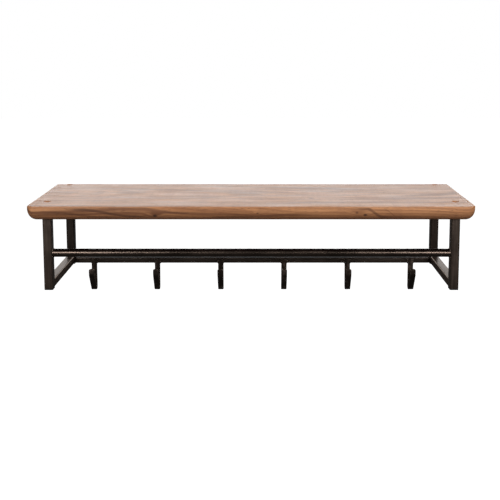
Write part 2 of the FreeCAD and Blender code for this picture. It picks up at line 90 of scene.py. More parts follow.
def soften(mesh, angle):
    """Smooth shading, with every edge sharper than the angle (in degrees) kept crisp."""
    for face in mesh.polygons:
        face.use_smooth = True
    mesh.set_sharp_from_angle(angle=math.radians(angle))


def baked(name, source, helpers=()):
    """The evaluated source as a plain mesh object; the source and its helpers are removed."""
    bpy.context.view_layer.update()
    graph = bpy.context.evaluated_depsgraph_get()
    mesh = bpy.data.meshes.new_from_object(source.evaluated_get(graph), depsgraph=graph)
    mesh.name = name
    for gone in (source, *helpers):
        bpy.data.objects.remove(gone)
    return new_object(name, mesh)


def finish_piece(piece, nodes):
    """Fixes the piece to the one body, in place of the CAD pieces that it remakes."""
    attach(piece, "root")
    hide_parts(*nodes)


def points_object(name, places):
    """A mesh of loose points, for parts to be stood on."""
    mesh = bpy.data.meshes.new(name)
    mesh.from_pydata([tuple(p) for p in places], [], [])
    return new_object(name, mesh)


def path_object(name, paths):
    """A curve object with one open poly spline for each list of points."""
    curve = bpy.data.curves.new(name, "CURVE")
    curve.dimensions = "3D"
    for points in paths:
        spline = curve.splines.new("POLY")
        spline.points.add(len(points) - 1)
        for spot, point in zip(spline.points, points):
            spot.co = (*point, 1.0)
    return new_object(name, curve)


def stacked_rings(rings, capped=True):
    """A shell over rings of equal point counts, in order, with the first and last ring filled."""
    bm = bmesh.new()
    rows = [[bm.verts.new(point) for point in ring] for ring in rings]
    count = len(rows[0])
    for this, following in zip(rows, rows[1:]):
        for i in range(count):
            j = (i + 1) % count
            bm.faces.new((this[i], this[j], following[j], following[i]))
    if capped:
        bm.faces.new(list(reversed(rows[0])))
        bm.faces.new(rows[-1])
    bmesh.ops.recalc_face_normals(bm, faces=bm.faces)
    return bm


def round_ring(radius, z):
    ring = []
    for i in range(ROUND_STEPS):
        angle = math.tau * i / ROUND_STEPS
        ring.append((radius * math.cos(angle), radius * math.sin(angle), z))
    return ring


def hexagon_ring(across, z):
    """A hexagon of the given size across its flats, with as many points as a round ring."""
    ring = []
    for i in range(ROUND_STEPS):
        angle = math.tau * i / ROUND_STEPS
        from_flat = (angle + math.pi / 6) % (math.pi / 3) - math.pi / 6
        reach = across / 2 / math.cos(from_flat)
        ring.append((reach * math.cos(angle), reach * math.sin(angle), z))
    return ring


def square_ring(half, corner, z):
    """A square of the given half side with rounded corners, anticlockwise."""
    ring = []
    for quarter, (sx, sy) in enumerate(((1, 1), (-1, 1), (-1, -1), (1, -1))):
        for i in range(CORNER_STEPS + 1):
            angle = quarter * math.pi / 2 + math.pi / 2 * i / CORNER_STEPS
            x = sx * (half - corner) + corner * math.cos(angle)
            y = sy * (half - corner) + corner * math.sin(angle)
            ring.append((x, y, z))
    return ring


# ---------------------------------------------------------------- node tree helpers


class Tree:
    """Adds nodes by type: inputs are set or linked by name or index, settings by keyword."""

    def __init__(self, tree):
        self.tree = tree

    def add(self, kind, inputs=(), **settings):
        made = self.tree.nodes.new(kind)
        for name, value in settings.items():
            setattr(made, name, value)
        for key, value in dict(inputs).items():
            socket = made.inputs[key]
            if isinstance(value, bpy.types.NodeSocket):
                self.tree.links.new(value, socket)
            else:
                socket.default_value = value
        return made

    def maths(self, operation, a, b=0.0, c=0.0):
        return self.add("ShaderNodeMath", {0: a, 1: b, 2: c}, operation=operation).outputs[0]

    def vectors(self, operation, a, b=(0, 0, 0)):
        return self.add("ShaderNodeVectorMath", {0: a, 1: b}, operation=operation).outputs[0]

    def ramp(self, value, low, high, start=0.0, end=1.0):
        """Eases from start to end while the value goes from low to high."""
        inputs = {"Value": value, "From Min": low, "From Max": high, "To Min": start, "To Max": end}
        return self.add("ShaderNodeMapRange", inputs, interpolation_type="SMOOTHSTEP").outputs[0]

    def speckle(self, place, scale, detail=3.0, rough=0.55, warp=0.0):
        inputs = {"Vector": place, "Scale": scale, "Detail": detail, "Roughness": rough,
                  "Distortion": warp}
        return self.add("ShaderNodeTexNoise", inputs).outputs["Fac"]

    def stretched(self, place, scale, shift=(0, 0, 0)):
        inputs = {"Vector": place, "Scale": scale, "Location": shift}
        return self.add("ShaderNodeMapping", inputs).outputs[0]

    def blend(self, share, a, b):
        """Mixes two colours, which are the node's inputs 6 and 7 and its output 2."""
        made = self.add("ShaderNodeMix", {0: share, 6: a, 7: b}, data_type="RGBA")
        return made.outputs[2]

    def length(self, vector):
        made = self.add("ShaderNodeVectorMath", {0: vector}, operation="LENGTH")
        return made.outputs["Value"]

    def bump(self, height, distance, strength, normal=None):
        inputs = {"Height": height, "Distance": distance, "Strength": strength}
        if normal is not None:
            inputs["Normal"] = normal
        return self.add("ShaderNodeBump", inputs).outputs[0]


def new_material(name):
    material = bpy.data.materials.new(name)
    material.use_nodes = True
    material.node_tree.nodes.clear()
    tree = Tree(material.node_tree)
    place = tree.add("ShaderNodeTexCoord").outputs["Object"]
    return material, tree, place


def finish_material(tree, **sockets):
    """Ends a material with a surface shader, whose sockets are named with underscores."""
    shader = tree.add("ShaderNodeBsdfPrincipled")
    for name, value in sockets.items():
        socket = shader.inputs[name.replace("_", " ")]
        if isinstance(value, bpy.types.NodeSocket):
            tree.tree.links.new(value, socket)
        else:
            socket.default_value = value
    output = tree.add("ShaderNodeOutputMaterial")
    tree.tree.links.new(shader.outputs[0], output.inputs[0])


# ---------------------------------------------------------------- finishes


def shade(red, green, blue):
    return (red, green, blue, 1.0)


# Knots: middle x, y and z, radius, and how far the growth rings bend round it.
KNOTS = [
    (-0.192, BOARD_LOW.y + 0.004, BOARD_LOW.z + 0.011, 0.0040, 0.006),
    (0.013, BOARD_LOW.y + 0.003, BOARD_LOW.z + 0.017, 0.0028, 0.004),
    (0.211, BOARD_LOW.y + 0.003, BOARD_LOW.z + 0.018, 0.0032, 0.005),
    (0.228, BOARD_LOW.y + 0.003, BOARD_LOW.z + 0.013, 0.0034, 0.005),
    (0.125, BOARD_LOW.y + 0.085, BOARD_HIGH.z, 0.0045, 0.012),
    (0.330, BOARD_LOW.y + 0.095, BOARD_LOW.z, 0.0055, 0.009),
]
# Dark veins in the front edge: start x and z, end x and z, half width, strength.
VEINS = [
    (-0.340, BOARD_HIGH.z - 0.006, -0.236, BOARD_LOW.z + 0.010, 0.0042, 0.75),
    (-0.392, BOARD_HIGH.z - 0.012, -0.300, BOARD_LOW.z + 0.008, 0.0036, 0.50),
    (-0.150, BOARD_HIGH.z - 0.012, -0.020, BOARD_HIGH.z - 0.016, 0.0034, 0.50),
    (-0.060, BOARD_LOW.z + 0.008, 0.090, BOARD_LOW.z + 0.014, 0.0040, 0.55),
    (0.230, BOARD_HIGH.z - 0.003, 0.264, BOARD_LOW.z + 0.008, 0.0052, 0.62),
    (0.268, BOARD_HIGH.z - 0.006, 0.292, BOARD_LOW.z + 0.009, 0.0024, 0.40),
]
PITH_Y, PITH_Z, PITH_SLOPE = -0.118, -0.062, 0.035
RINGS_PER_METRE = 170.0

EARLY_PALE, EARLY_WARM = shade(0.70, 0.335, 0.150), shade(0.52, 0.225, 0.092)
LATE_WOOD, CLOUD = shade(0.300, 0.116, 0.044), shade(0.26, 0.105, 0.047)
# The last colour on the next line is painted shade for the underside, not a wood colour.
FIBRE, UNDERSIDE_SHADE = shade(0.20, 0.080, 0.036), shade(0.205, 0.080, 0.036)
STREAK, VEIN = shade(0.130, 0.050, 0.024), shade(0.095, 0.037, 0.018)
PORE, KNOT = shade(0.085, 0.033, 0.017), shade(0.045, 0.018, 0.010)


def knots(t, place):
    """How far the rings are pushed out at a place, and how dark the knots make it."""
    swell = None
    core = None
    for at_x, at_y, at_z, size, pull in KNOTS:
        offset = t.vectors("SUBTRACT", place, (at_x, at_y, at_z))
        wide = t.length(t.vectors("MULTIPLY", offset, (0.42 / size, 1.0 / size, 1.0 / size)))
        tight = t.length(t.vectors("MULTIPLY", offset, (0.75 / size, 1.0 / size, 1.0 / size)))
        lift = t.ramp(wide, 0.0, 3.2, pull, 0.0)
        spot = t.ramp(tight, 0.35, 1.25, 1.0, 0.0)
        swell = lift if swell is None else t.maths("ADD", swell, lift)
        core = spot if core is None else t.maths("MAXIMUM", core, spot)
    return swell, core


def veins(t, x, y, z, drift):
    """How strongly the dark veins mark a place on the front edge."""
    strongest = None
    shaken = t.maths("MULTIPLY", t.maths("SUBTRACT", drift, 0.5), 0.006)
    for start_x, start_z, end_x, end_z, half_width, strength in VEINS:
        course = t.maths("ADD", t.ramp(x, start_x, end_x, start_z, end_z), shaken)
        off = t.maths("ABSOLUTE", t.maths("SUBTRACT", z, course))
        band = t.ramp(off, half_width * 0.25, half_width, strength, 0.0)
        opening = t.ramp(x, start_x - 0.035, start_x + 0.004)
        closing = t.ramp(x, end_x - 0.004, end_x + 0.060, 1.0, 0.0)
        line = t.maths("MULTIPLY", band, t.maths("MULTIPLY", opening, closing))
        strongest = line if strongest is None else t.maths("MAXIMUM", strongest, line)
    on_front = t.ramp(y, BOARD_LOW.y + 0.012, BOARD_LOW.y + 0.024, 1.0, 0.0)
    return t.maths("MULTIPLY", strongest, on_front)


def oiled_hardwood():
    """Long grain along X: growth rings round a pith below the board, knots, veins and pores."""
    material, t, place = new_material("oiled_hardwood")
    x, y, z = t.add("ShaderNodeSeparateXYZ", {0: place}).outputs

    wander = t.speckle(t.stretched(place, (1.3, 4.0, 4.0)), 1.0, 1.5)
    drift = t.speckle(t.stretched(place, (3.0, 16.0, 16.0), shift=(3.1, 0, 0)), 1.0, 2.0)
    sway = t.maths("MULTIPLY_ADD", wander, 0.060, t.maths("MULTIPLY", drift, 0.014))

    swell, core = knots(t, place)
    behind = t.maths("SUBTRACT", y, PITH_Y)
    above = t.maths("MULTIPLY_ADD", x, PITH_SLOPE, t.maths("SUBTRACT", z, PITH_Z))
    squares = t.maths("ADD", t.maths("MULTIPLY", behind, behind), t.maths("MULTIPLY", above, above))
    radius = t.maths("ADD", t.maths("SQRT", squares), t.maths("ADD", sway, swell))
    rings = t.maths("FRACT", t.maths("MULTIPLY", radius, RINGS_PER_METRE))
    late = t.maths("MULTIPLY", t.ramp(rings, 0.25, 0.86), t.ramp(rings, 0.90, 1.0, 1.0, 0.0))
    broad = t.speckle(t.stretched(place, (1.6, 1.0, 1.0)), 22.0, 2.0)
    tone = t.speckle(t.stretched(place, (2.5, 45.0, 45.0)), 1.0, 3.0, 0.6)

    fibre = t.speckle(t.stretched(place, (26.0, 900.0, 900.0)), 1.0, 3.0, 0.6)
    pores = t.speckle(t.stretched(place, (90.0, 1500.0, 1500.0), shift=(0.7, 0, 0)), 1.0, 1.0, 0.4)
    pore = t.ramp(pores, 0.60, 0.72)
    flow = t.add("ShaderNodeCombineXYZ", {0: x, 1: t.maths("ADD", y, sway), 2: radius}).outputs[0]
    streak = t.speckle(t.stretched(flow, (2.6, 12.0, 105.0), shift=(1.9, 0, 0)), 1.0, 3.0, 0.55)
    mineral = t.ramp(streak, 0.50, 0.68)
    # Painted sheen: the figure is fainter on the top, where the reflection washes it out. Painted
    # shade: the wood is darker towards the underside, where the rounding turns from the light.
    # Painted sheen: the dark figure is weakened on the top face, where the reflection washes it out.
    sheen_washed = t.ramp(z, BOARD_HIGH.z - 0.0026, BOARD_HIGH.z - 0.0003, 1.0, 0.45)
    underside_shade = t.ramp(z, BOARD_LOW.z + 0.001, BOARD_HIGH.z - 0.003, 0.86, 0.0)

    veined = t.maths("MULTIPLY", veins(t, x, y, z, drift), sheen_washed)

    colour = t.blend(t.ramp(tone, 0.32, 0.68), EARLY_PALE, EARLY_WARM)
    colour = t.blend(t.maths("MULTIPLY", late, t.maths("MULTIPLY", sheen_washed, 0.56)), colour, LATE_WOOD)
    colour = t.blend(t.ramp(broad, 0.40, 0.72, 0.0, 0.20), colour, CLOUD)
    colour = t.blend(t.ramp(fibre, 0.38, 0.66, 0.0, 0.24), colour, FIBRE)
    # Painted shade: darker towards the underside.
    colour = t.blend(underside_shade, colour, UNDERSIDE_SHADE)
    colour = t.blend(t.maths("MULTIPLY", mineral, t.maths("MULTIPLY", sheen_washed, 0.74)), colour, STREAK)
    colour = t.blend(veined, colour, VEIN)
    colour = t.blend(t.maths("MULTIPLY", pore, 0.55), colour, PORE)
    colour = t.blend(t.maths("MULTIPLY", core, t.maths("MULTIPLY", sheen_washed, 0.86)), colour, KNOT)

    sheen = t.speckle(t.stretched(place, (9.0, 60.0, 60.0)), 1.0, 2.0)
    rough = t.maths("ADD", t.ramp(sheen, 0.3, 0.7, 0.46, 0.56), t.maths("MULTIPLY", pore, 0.14))
    height = t.maths("MULTIPLY_ADD", fibre, 0.35, t.maths("MULTIPLY", late, 0.25))
    height = t.maths("SUBTRACT", height, t.maths("MULTIPLY", pore, 0.8))
    planed = t.bump(t.speckle(t.stretched(place, (7.0, 18.0, 18.0)), 1.0, 1.0), 0.0006, 0.35)
    grain = t.bump(height, 0.00012, 0.55, planed)
    finish_material(t, Base_Color=colour, Roughness=rough, Normal=grain, Specular_IOR_Level=0.45,
                    Coat_Weight=0.10, Coat_Roughness=0.40)
    return material


WORN = shade(0.27, 0.21, 0.175)
EDGE_WIDTH = 1.1 * MM


def lacquered_steel(name, tint, gloss, mill, fleck, marks=0.45, rub=0.42, relief=0.38, rim=0.85):
    """Dark clear-lacquered steel: mill marks, cloudy sheen, and edges rubbed a little brighter.

    gloss is the lowest roughness but for 0.02; mill is the scale of the drawn marks along each
    axis; fleck, marks and rub are the shares of the worn colour in the flecks, in the marks and
    on the edges; relief is the strength of the surface's unevenness, and rim the brightness of
    its glancing reflections.
    """
    material, t, place = new_material(name)
    clouds = t.speckle(t.stretched(place, (14.0, 14.0, 14.0)), 1.0, 4.0, 0.6, 0.4)
    scale = t.speckle(t.stretched(place, (160.0, 160.0, 160.0)), 1.0, 3.0, 0.6)
    drawn = t.speckle(t.stretched(place, mill), 1.0, 2.0, 0.5)
    flecks = t.speckle(t.stretched(place, (620.0, 620.0, 620.0)), 1.0, 1.0)

    flat = t.add("ShaderNodeNewGeometry").outputs["Normal"]
    eased = t.add("ShaderNodeBevel", {"Radius": EDGE_WIDTH}, samples=4).outputs[0]
    facing = t.add("ShaderNodeVectorMath", {0: eased, 1: flat}, operation="DOT_PRODUCT")
    edge = t.ramp(facing.outputs["Value"], 0.90, 0.995, 1.0, 0.0)
    rubbed = t.maths("MULTIPLY", edge, t.ramp(scale, 0.42, 0.62))

    colour = t.blend(t.ramp(clouds, 0.3, 0.7), tint, shade(*(part * 1.45 for part in tint[:3])))
    colour = t.blend(t.ramp(drawn, 0.52, 0.72, 0.0, marks), colour, WORN)
    colour = t.blend(t.ramp(flecks, 0.60, 0.72, 0.0, fleck), colour, WORN)
    colour = t.blend(t.maths("MULTIPLY", rubbed, rub), colour, WORN)

    cloudy = t.ramp(clouds, 0.3, 0.7, gloss - 0.02, gloss + 0.05)
    rough = t.maths("ADD", cloudy, t.ramp(drawn, 0.4, 0.7, 0.0, 0.07))
    height = t.maths("MULTIPLY_ADD", drawn, 0.6, t.maths("MULTIPLY", scale, 0.9))
    skin = t.bump(t.maths("MULTIPLY_ADD", flecks, 0.25, height), 0.00016, relief, eased)
    finish_material(t, Base_Color=colour, Roughness=rough, Normal=skin, Metallic=1.0,
                    Specular_IOR_Level=0.5, Specular_Tint=shade(rim, rim * 0.965, rim * 0.94),
                    Coat_Weight=0.10, Coat_Roughness=0.22)
    return material


def plain_steel(name, dark, light, rough_low, rough_high):
    """Steel without lacquer: turned or ground marks and a mottled oxide."""
    material, t, place = new_material(name)
    mottled = t.speckle(place, 260.0, 4.0, 0.6)
    lines = t.speckle(t.stretched(place, (60.0, 1400.0, 1400.0)), 1.0, 2.0)
    colour = t.blend(t.ramp(mottled, 0.35, 0.65), dark, light)
    rough = t.ramp(lines, 0.3, 0.7, rough_low, rough_high)
    height = t.maths("MULTIPLY_ADD", lines, 0.5, mottled)
    finish_material(t, Base_Color=colour, Roughness=rough, Metallic=0.9,
                    Normal=t.bump(height, 0.00006, 0.5))
    return material


def moulded_plastic():
    """Black polyethylene with a fine spark-eroded texture and faint scuffs."""
    material, t, place = new_material("moulded_black_plastic")
    texture = t.speckle(place, 1700.0, 2.0, 0.6)
    scuffs = t.speckle(t.stretched(place, (900.0, 90.0, 90.0)), 1.0, 3.0, 0.65, 0.8)
    scuff = t.ramp(scuffs, 0.60, 0.74)
    colour = t.blend(t.maths("MULTIPLY", scuff, 0.5), shade(0.012, 0.012, 0.013),
                     shade(0.060, 0.058, 0.056))
    rough = t.maths("ADD", t.ramp(texture, 0.3, 0.7, 0.46, 0.58), t.maths("MULTIPLY", scuff, 0.12))
    finish_material(t, Base_Color=colour, Roughness=rough, Normal=t.bump(texture, 0.00005, 0.6))
    return material


# ---------------------------------------------------------------- shelf board

TOP_EASE = 2.0 * MM  # radius of the top edge
UNDER_ROUND = 24.0 * MM  # height of the rounding underneath
END_ROUND = 17.0 * MM  # its depth at the board's ends
FRONT_ROUND = 21.0 * MM  # its depth at the front; the back is square
PLAN_CORNER = 15.0 * MM  # radius of the front corners, seen from above
SANDING_DEPTH = 0.22 * MM
UNDER_STEPS, EASE_STEPS = 12, 6
LONG_SPANS, SHORT_SPANS, ARC_SPANS = 220, 60, 14

BORE_DEPTH = 12.0 * MM
BORE_RADIUS = 6.5 * MM
HOLE_RADIUS = 3.3 * MM
RIM_RADIUS, RIM_DEPTH = 7.1 * MM, 0.6 * MM


def board_outline(end_inset, front_inset, back_inset, corner, z):
    """The board's plan outline, anticlockwise from the back right, drawn in by the insets."""
    low_x, high_x = BOARD_LOW.x + end_inset, BOARD_HIGH.x - end_inset
    low_y, high_y = BOARD_LOW.y + front_inset, BOARD_HIGH.y - back_inset
    points = []

    def run(start, end, spans):
        for i in range(spans):
            share = i / spans
            points.append((start[0] + (end[0] - start[0]) * share,
                           start[1] + (end[1] - start[1]) * share, z))

    def arc(cx, cy, start):
        for i in range(ARC_SPANS):
            angle = math.radians(start + 90 * i / ARC_SPANS)
            points.append((cx + corner * math.cos(angle), cy + corner * math.sin(angle), z))

    run((high_x, high_y), (low_x, high_y), LONG_SPANS)
    run((low_x, high_y), (low_x, low_y + corner), SHORT_SPANS)
    arc(low_x + corner, low_y + corner, 180)
    run((low_x + corner, low_y), (high_x - corner, low_y), LONG_SPANS)
    arc(high_x - corner, low_y + corner, 270)
    run((high_x, low_y + corner), (high_x, high_y), SHORT_SPANS)
    return points


def hand_sanded(point):
    """The point moved by a slow, slight unevenness, towards the middle of the board."""
    place = Vector(point)
    slow = noise.noise(place * 9.0) + 0.5 * noise.noise(place * 31.0 + Vector((4, 0, 2)))
    depth = SANDING_DEPTH * (1.0 + slow)
    centre = Vector((place.x * 0.94, BOARD_LOW.y * 0.5, (BOARD_LOW.z + BOARD_HIGH.z) / 2))
    inward = centre - place
    inward.x *= 0.35
    inward.z *= 0.6
    return place + inward.normalized() * depth


def board_blank():
    """The board without its holes: flat underside, rounding, sides, eased edge and flat top."""
    low_corner = 4 * MM
    rings = [board_outline(END_ROUND + 2 * MM, FRONT_ROUND + 2 * MM, 1 * MM, low_corner,
                           BOARD_LOW.z)]
    for i in range(UNDER_STEPS + 1):
        angle = math.pi / 2 * i / UNDER_STEPS
        share = 1 - math.sin(angle)
        z = BOARD_LOW.z + UNDER_ROUND * (1 - math.cos(angle))
        corner = max(PLAN_CORNER - 0.55 * FRONT_ROUND * share, 3 * MM)
        rings.append(board_outline(END_ROUND * share, FRONT_ROUND * share, 0, corner, z))
    for i in range(EASE_STEPS + 1):
        angle = math.pi / 2 * i / EASE_STEPS
        inset = TOP_EASE * (1 - math.cos(angle))
        z = BOARD_HIGH.z - TOP_EASE * (1 - math.sin(angle))
        rings.append(board_outline(inset, inset, inset, PLAN_CORNER - inset, z))
    flat = TOP_EASE + 1 * MM
    rings.append(board_outline(flat, flat, flat, PLAN_CORNER - flat, BOARD_HIGH.z))
    for ring in rings[1:-2]:
        ring[:] = [tuple(hand_sanded(point)) for point in ring]
    return stacked_rings(rings)


def counterbore_cutter(at):
    """Countersunk rim, counterbore and through hole, a little longer than the board is thick."""
    seat = BOARD_HIGH.z - BORE_DEPTH
    rings = [
        round_ring(HOLE_RADIUS, BOARD_LOW.z - 2 * MM),
        round_ring(HOLE_RADIUS, seat),
        round_ring(BORE_RADIUS, seat + 0.05 * MM),
        round_ring(BORE_RADIUS, BOARD_HIGH.z - RIM_DEPTH),
        round_ring(RIM_RADIUS, BOARD_HIGH.z),
        round_ring(RIM_RADIUS + 0.9 * MM, BOARD_HIGH.z + 0.9 * MM),
    ]
    moved = [[(px + at.x, py + at.y, pz) for px, py, pz in ring] for ring in rings]
    return stacked_rings(moved)


def shelf_board(wood):
    board = new_object("board", mesh_from_bmesh("board", board_blank()))
    cutters = []
    for corner in CORNERS:
        at = middle(f"tapped_plate_{corner}")
        cutter = new_object(f"cutter_{corner}", mesh_from_bmesh("cutter", counterbore_cutter(at)))
        cut = board.modifiers.new("counterbore", "BOOLEAN")
        cut.object = cutter
        cut.solver = "EXACT"
        cutters.append(cutter)
    piece = baked("shelf_board_oiled", board, cutters)
    soften(piece.data, 38)
    piece.data.materials.clear()
    piece.data.materials.append(wood)
    finish_piece(piece, ["shelf_board"])


# ---------------------------------------------------------------- geometry node pieces


def geometry_tree(name, inputs):
    """A node group that takes and returns geometry, with named inputs of the given kinds."""
    group = bpy.data.node_groups.new(name, "GeometryNodeTree")
    group.interface.new_socket("Geometry", in_out="INPUT", socket_type="NodeSocketGeometry")
    for label, kind in inputs:
        group.interface.new_socket(label, in_out="INPUT", socket_type=kind)
    group.interface.new_socket("Geometry", in_out="OUTPUT", socket_type="NodeSocketGeometry")
    tree = Tree(group)
    source = tree.add("NodeGroupInput")
    return group, tree, source.outputs


def end_tree(tree, geometry, material):
    """Real geometry, one finish, smooth faces."""
    real = tree.add("GeometryNodeRealizeInstances", {"Geometry": geometry}).outputs[0]
    smooth = tree.add("GeometryNodeSetShadeSmooth", {"Geometry": real}).outputs[0]
    painted = tree.add("GeometryNodeSetMaterial", {"Geometry": smooth, "Material": material})
    output = tree.add("NodeGroupOutput")
    tree.tree.links.new(painted.outputs[0], output.inputs[0])


def run_tree(name, group, source, values, helpers=()):
    """The plain mesh that a node group makes of the source object."""
    modifier = source.modifiers.new(name, "NODES")
    modifier.node_group = group
    for item in group.interface.items_tree:
        if item.in_out == "INPUT" and item.name in values:
            modifier[item.identifier] = values[item.name]
    return baked(name, source, helpers)


FLOAT, THING, FINISH = "NodeSocketFloat", "NodeSocketObject", "NodeSocketMaterial"
TURN_SEED, LEAN_SEED, SWAY_SEED = 7, 11, 23
STEPS_PER_RIPPLE = 6.0
STRIP_STEP = 0.6 * MM


def varied(t, limit, seed):
    """A number between minus the limit and the limit for each point, always the same ones."""
    low = t.maths("MULTIPLY", limit, -1.0)
    return t.add("FunctionNodeRandomValue", {"Min": low, "Max": limit, "Seed": seed},
                 data_type="FLOAT").outputs["Value"]


def repeat_tree():
    """Stands a copy of one part at every point, each turned by its own fixed amount."""
    group, t, given = geometry_tree("repeat_part", [("Part", THING), ("Turn", FLOAT),
                                                   ("Finish", FINISH)])
    part = t.add("GeometryNodeObjectInfo", {"Object": given["Part"]}).outputs["Geometry"]
    turn = varied(t, given["Turn"], TURN_SEED)
    turned = t.add("ShaderNodeCombineXYZ", {"Z": turn}).outputs[0]
    placed = t.add("GeometryNodeInstanceOnPoints",
                   {"Points": given["Geometry"], "Instance": part, "Rotation": turned})
    end_tree(t, placed.outputs[0], given["Finish"])
    return group


def bead_tree():
    """A weld bead along each path: overlapping ripples, uneven in width, tapered at its ends."""
    group, t, given = geometry_tree("weld_bead", [("Leg", FLOAT), ("Ripple", FLOAT),
                                                 ("Finish", FINISH)])
    step = t.maths("DIVIDE", given["Ripple"], STEPS_PER_RIPPLE)
    even = t.add("GeometryNodeResampleCurve", {"Curve": given["Geometry"], "Length": step},
                 mode="LENGTH").outputs[0]
    along = t.add("GeometryNodeSplineParameter").outputs
    phase = t.maths("FRACT", t.maths("DIVIDE", along["Length"], given["Ripple"]))
    crest = t.maths("SQRT", t.maths("SINE", t.maths("MULTIPLY", phase, math.pi)))
    place = t.add("GeometryNodeInputPosition").outputs[0]
    uneven = t.speckle(place, 420.0, 2.0)
    # The first and the last ninth of the bead taper to 0.55 of its width.
    start = t.maths("MINIMUM", t.maths("MULTIPLY", along["Factor"], 9.0), 1.0)
    left = t.maths("SUBTRACT", 1.0, along["Factor"])
    end = t.maths("MINIMUM", t.maths("MULTIPLY", left, 9.0), 1.0)
    taper = t.maths("MULTIPLY", t.ramp(start, 0, 1, 0.55, 1), t.ramp(end, 0, 1, 0.55, 1))
    width = t.maths("ADD", t.maths("MULTIPLY", crest, 0.16), t.maths("MULTIPLY", uneven, 0.34))
    width = t.maths("MULTIPLY", t.maths("ADD", width, 0.52), taper)
    size = t.maths("MULTIPLY", width, given["Leg"])
    ring = t.add("GeometryNodeCurvePrimitiveCircle", {"Resolution": 12, "Radius": 1.0})
    made = t.add("GeometryNodeCurveToMesh", {"Curve": even, "Profile Curve": ring.outputs[0],
                                             "Scale": size, "Fill Caps": True})
    end_tree(t, made.outputs[0], given["Finish"])
    return group


def strip_tree():
    """A flat strip bent along a path, its tip rounded, repeated at every hook's place."""
    group, t, given = geometry_tree(
        "bent_strip",
        [("Width", FLOAT), ("Thickness", FLOAT), ("Edge", FLOAT), ("Bend", FLOAT), ("Knee", FLOAT),
         ("Tip", FLOAT), ("Places", THING), ("Lean", FLOAT), ("Finish", FINISH)],
    )
    # Point 1 of the path is the tight bend at the bottom, and point 2 the knee.
    index = t.add("GeometryNodeInputIndex").outputs[0]
    at_bend = t.add("FunctionNodeCompare", {2: index, 3: 1}, data_type="INT", operation="EQUAL")
    radius = t.add("GeometryNodeSwitch", {0: at_bend.outputs[0], 1: given["Knee"], 2: given["Bend"]},
                   input_type="FLOAT").outputs[0]
    bent = t.add("GeometryNodeFilletCurve", {"Curve": given["Geometry"], "Count": 20,
                                             "Radius": radius, "Limit Radius": True}, mode="POLY")
    even = t.add("GeometryNodeResampleCurve", {"Curve": bent.outputs[0], "Length": STRIP_STEP},
                 mode="LENGTH").outputs[0]
    level = t.add("GeometryNodeSetCurveNormal", {"Curve": even, "Normal": (1.0, 0.0, 0.0)},
                  mode="FREE").outputs[0]
    along = t.add("GeometryNodeSplineParameter").outputs["Length"]
    whole = t.add("GeometryNodeSplineLength").outputs["Length"]
    to_tip = t.maths("SUBTRACT", whole, along)
    kept = t.add("GeometryNodeCaptureAttribute", {0: level}, domain="POINT")
    kept.capture_items.new("FLOAT", "To Tip")
    t.tree.links.new(to_tip, kept.inputs[1])
    section = t.add("GeometryNodeCurvePrimitiveQuadrilateral",
                    {"Width": given["Width"], "Height": given["Thickness"]}, mode="RECTANGLE")
    eased = t.add("GeometryNodeFilletCurve", {"Curve": section.outputs[0], "Count": 3,
                                              "Radius": given["Edge"]}, mode="POLY").outputs[0]
    made = t.add("GeometryNodeCurveToMesh", {"Curve": kept.outputs[0], "Profile Curve": eased,
                                             "Fill Caps": True}).outputs[0]
    # Near the tip the strip is narrowed so that its corners follow a circle of the Tip radius.
    half = t.maths("MULTIPLY", given["Width"], 0.5)
    inner = t.maths("SUBTRACT", half, given["Tip"])
    back = t.maths("MAXIMUM", t.maths("SUBTRACT", given["Tip"], kept.outputs[1]), 0.0)
    under = t.maths("SUBTRACT", t.maths("MULTIPLY", given["Tip"], given["Tip"]),
                    t.maths("MULTIPLY", back, back))
    share = t.maths("DIVIDE", t.maths("ADD", inner, t.maths("SQRT", t.maths("MAXIMUM", under, 0.0))),
                    half)
    place = t.add("GeometryNodeInputPosition").outputs[0]
    narrowing = t.add("ShaderNodeCombineXYZ", {0: share, 1: 1.0, 2: 1.0}).outputs[0]
    narrowed = t.vectors("MULTIPLY", place, narrowing)
    rounded = t.add("GeometryNodeSetPosition", {"Geometry": made, "Position": narrowed}).outputs[0]
    stands = t.add("GeometryNodeObjectInfo", {"Object": given["Places"]}).outputs["Geometry"]
    lean = varied(t, given["Lean"], LEAN_SEED)
    sway = varied(t, given["Lean"], SWAY_SEED)
    turned = t.add("ShaderNodeCombineXYZ", {0: t.maths("MULTIPLY", lean, 0.3), 1: sway}).outputs[0]
    placed = t.add("GeometryNodeInstanceOnPoints", {"Points": stands, "Instance": rounded,
                                                    "Rotation": turned})
    end_tree(t, placed.outputs[0], given["Finish"])
    return group


# ---------------------------------------------------------------- hooks, beads, fasteners, plugs

HOOK_THICKNESS = 4.0 * MM
HOOK_BEND, HOOK_KNEE = 5.0 * MM, 14.0 * MM  # radii of the strip's middle line
HOOK_TIP = 4.0 * MM  # radius of the tip's corners
HOOK_RISE = 55.5 * MM  # the tip above the hook's bottom
LIMB_LEAN = math.radians(31)
HOOK_SCATTER = math.radians(0.5)

RIPPLE = 1.5 * MM
THIN_BEAD, WIDE_BEAD = 1.9 * MM, 2.2 * MM
RAIL_BEAD_REACH, RAIL_BEAD_STEP = 48, 4  # degrees either side of the top and the bottom

SHANK_RADIUS, SHANK_END = 2.95 * MM, 2.3 * MM
HEAD_RADIUS, CROWN_RADIUS = 5.25 * MM, 3.3 * MM
HEAD_SIDE, HEAD_STEPS = 0.9 * MM, 7
WASHER_INNER, WASHER_OUTER, WASHER_EASE = 3.3 * MM, 6.0 * MM, 0.25 * MM
STUB_INSET, STUB_CHAMFER = 1.6 * MM, 0.8 * MM


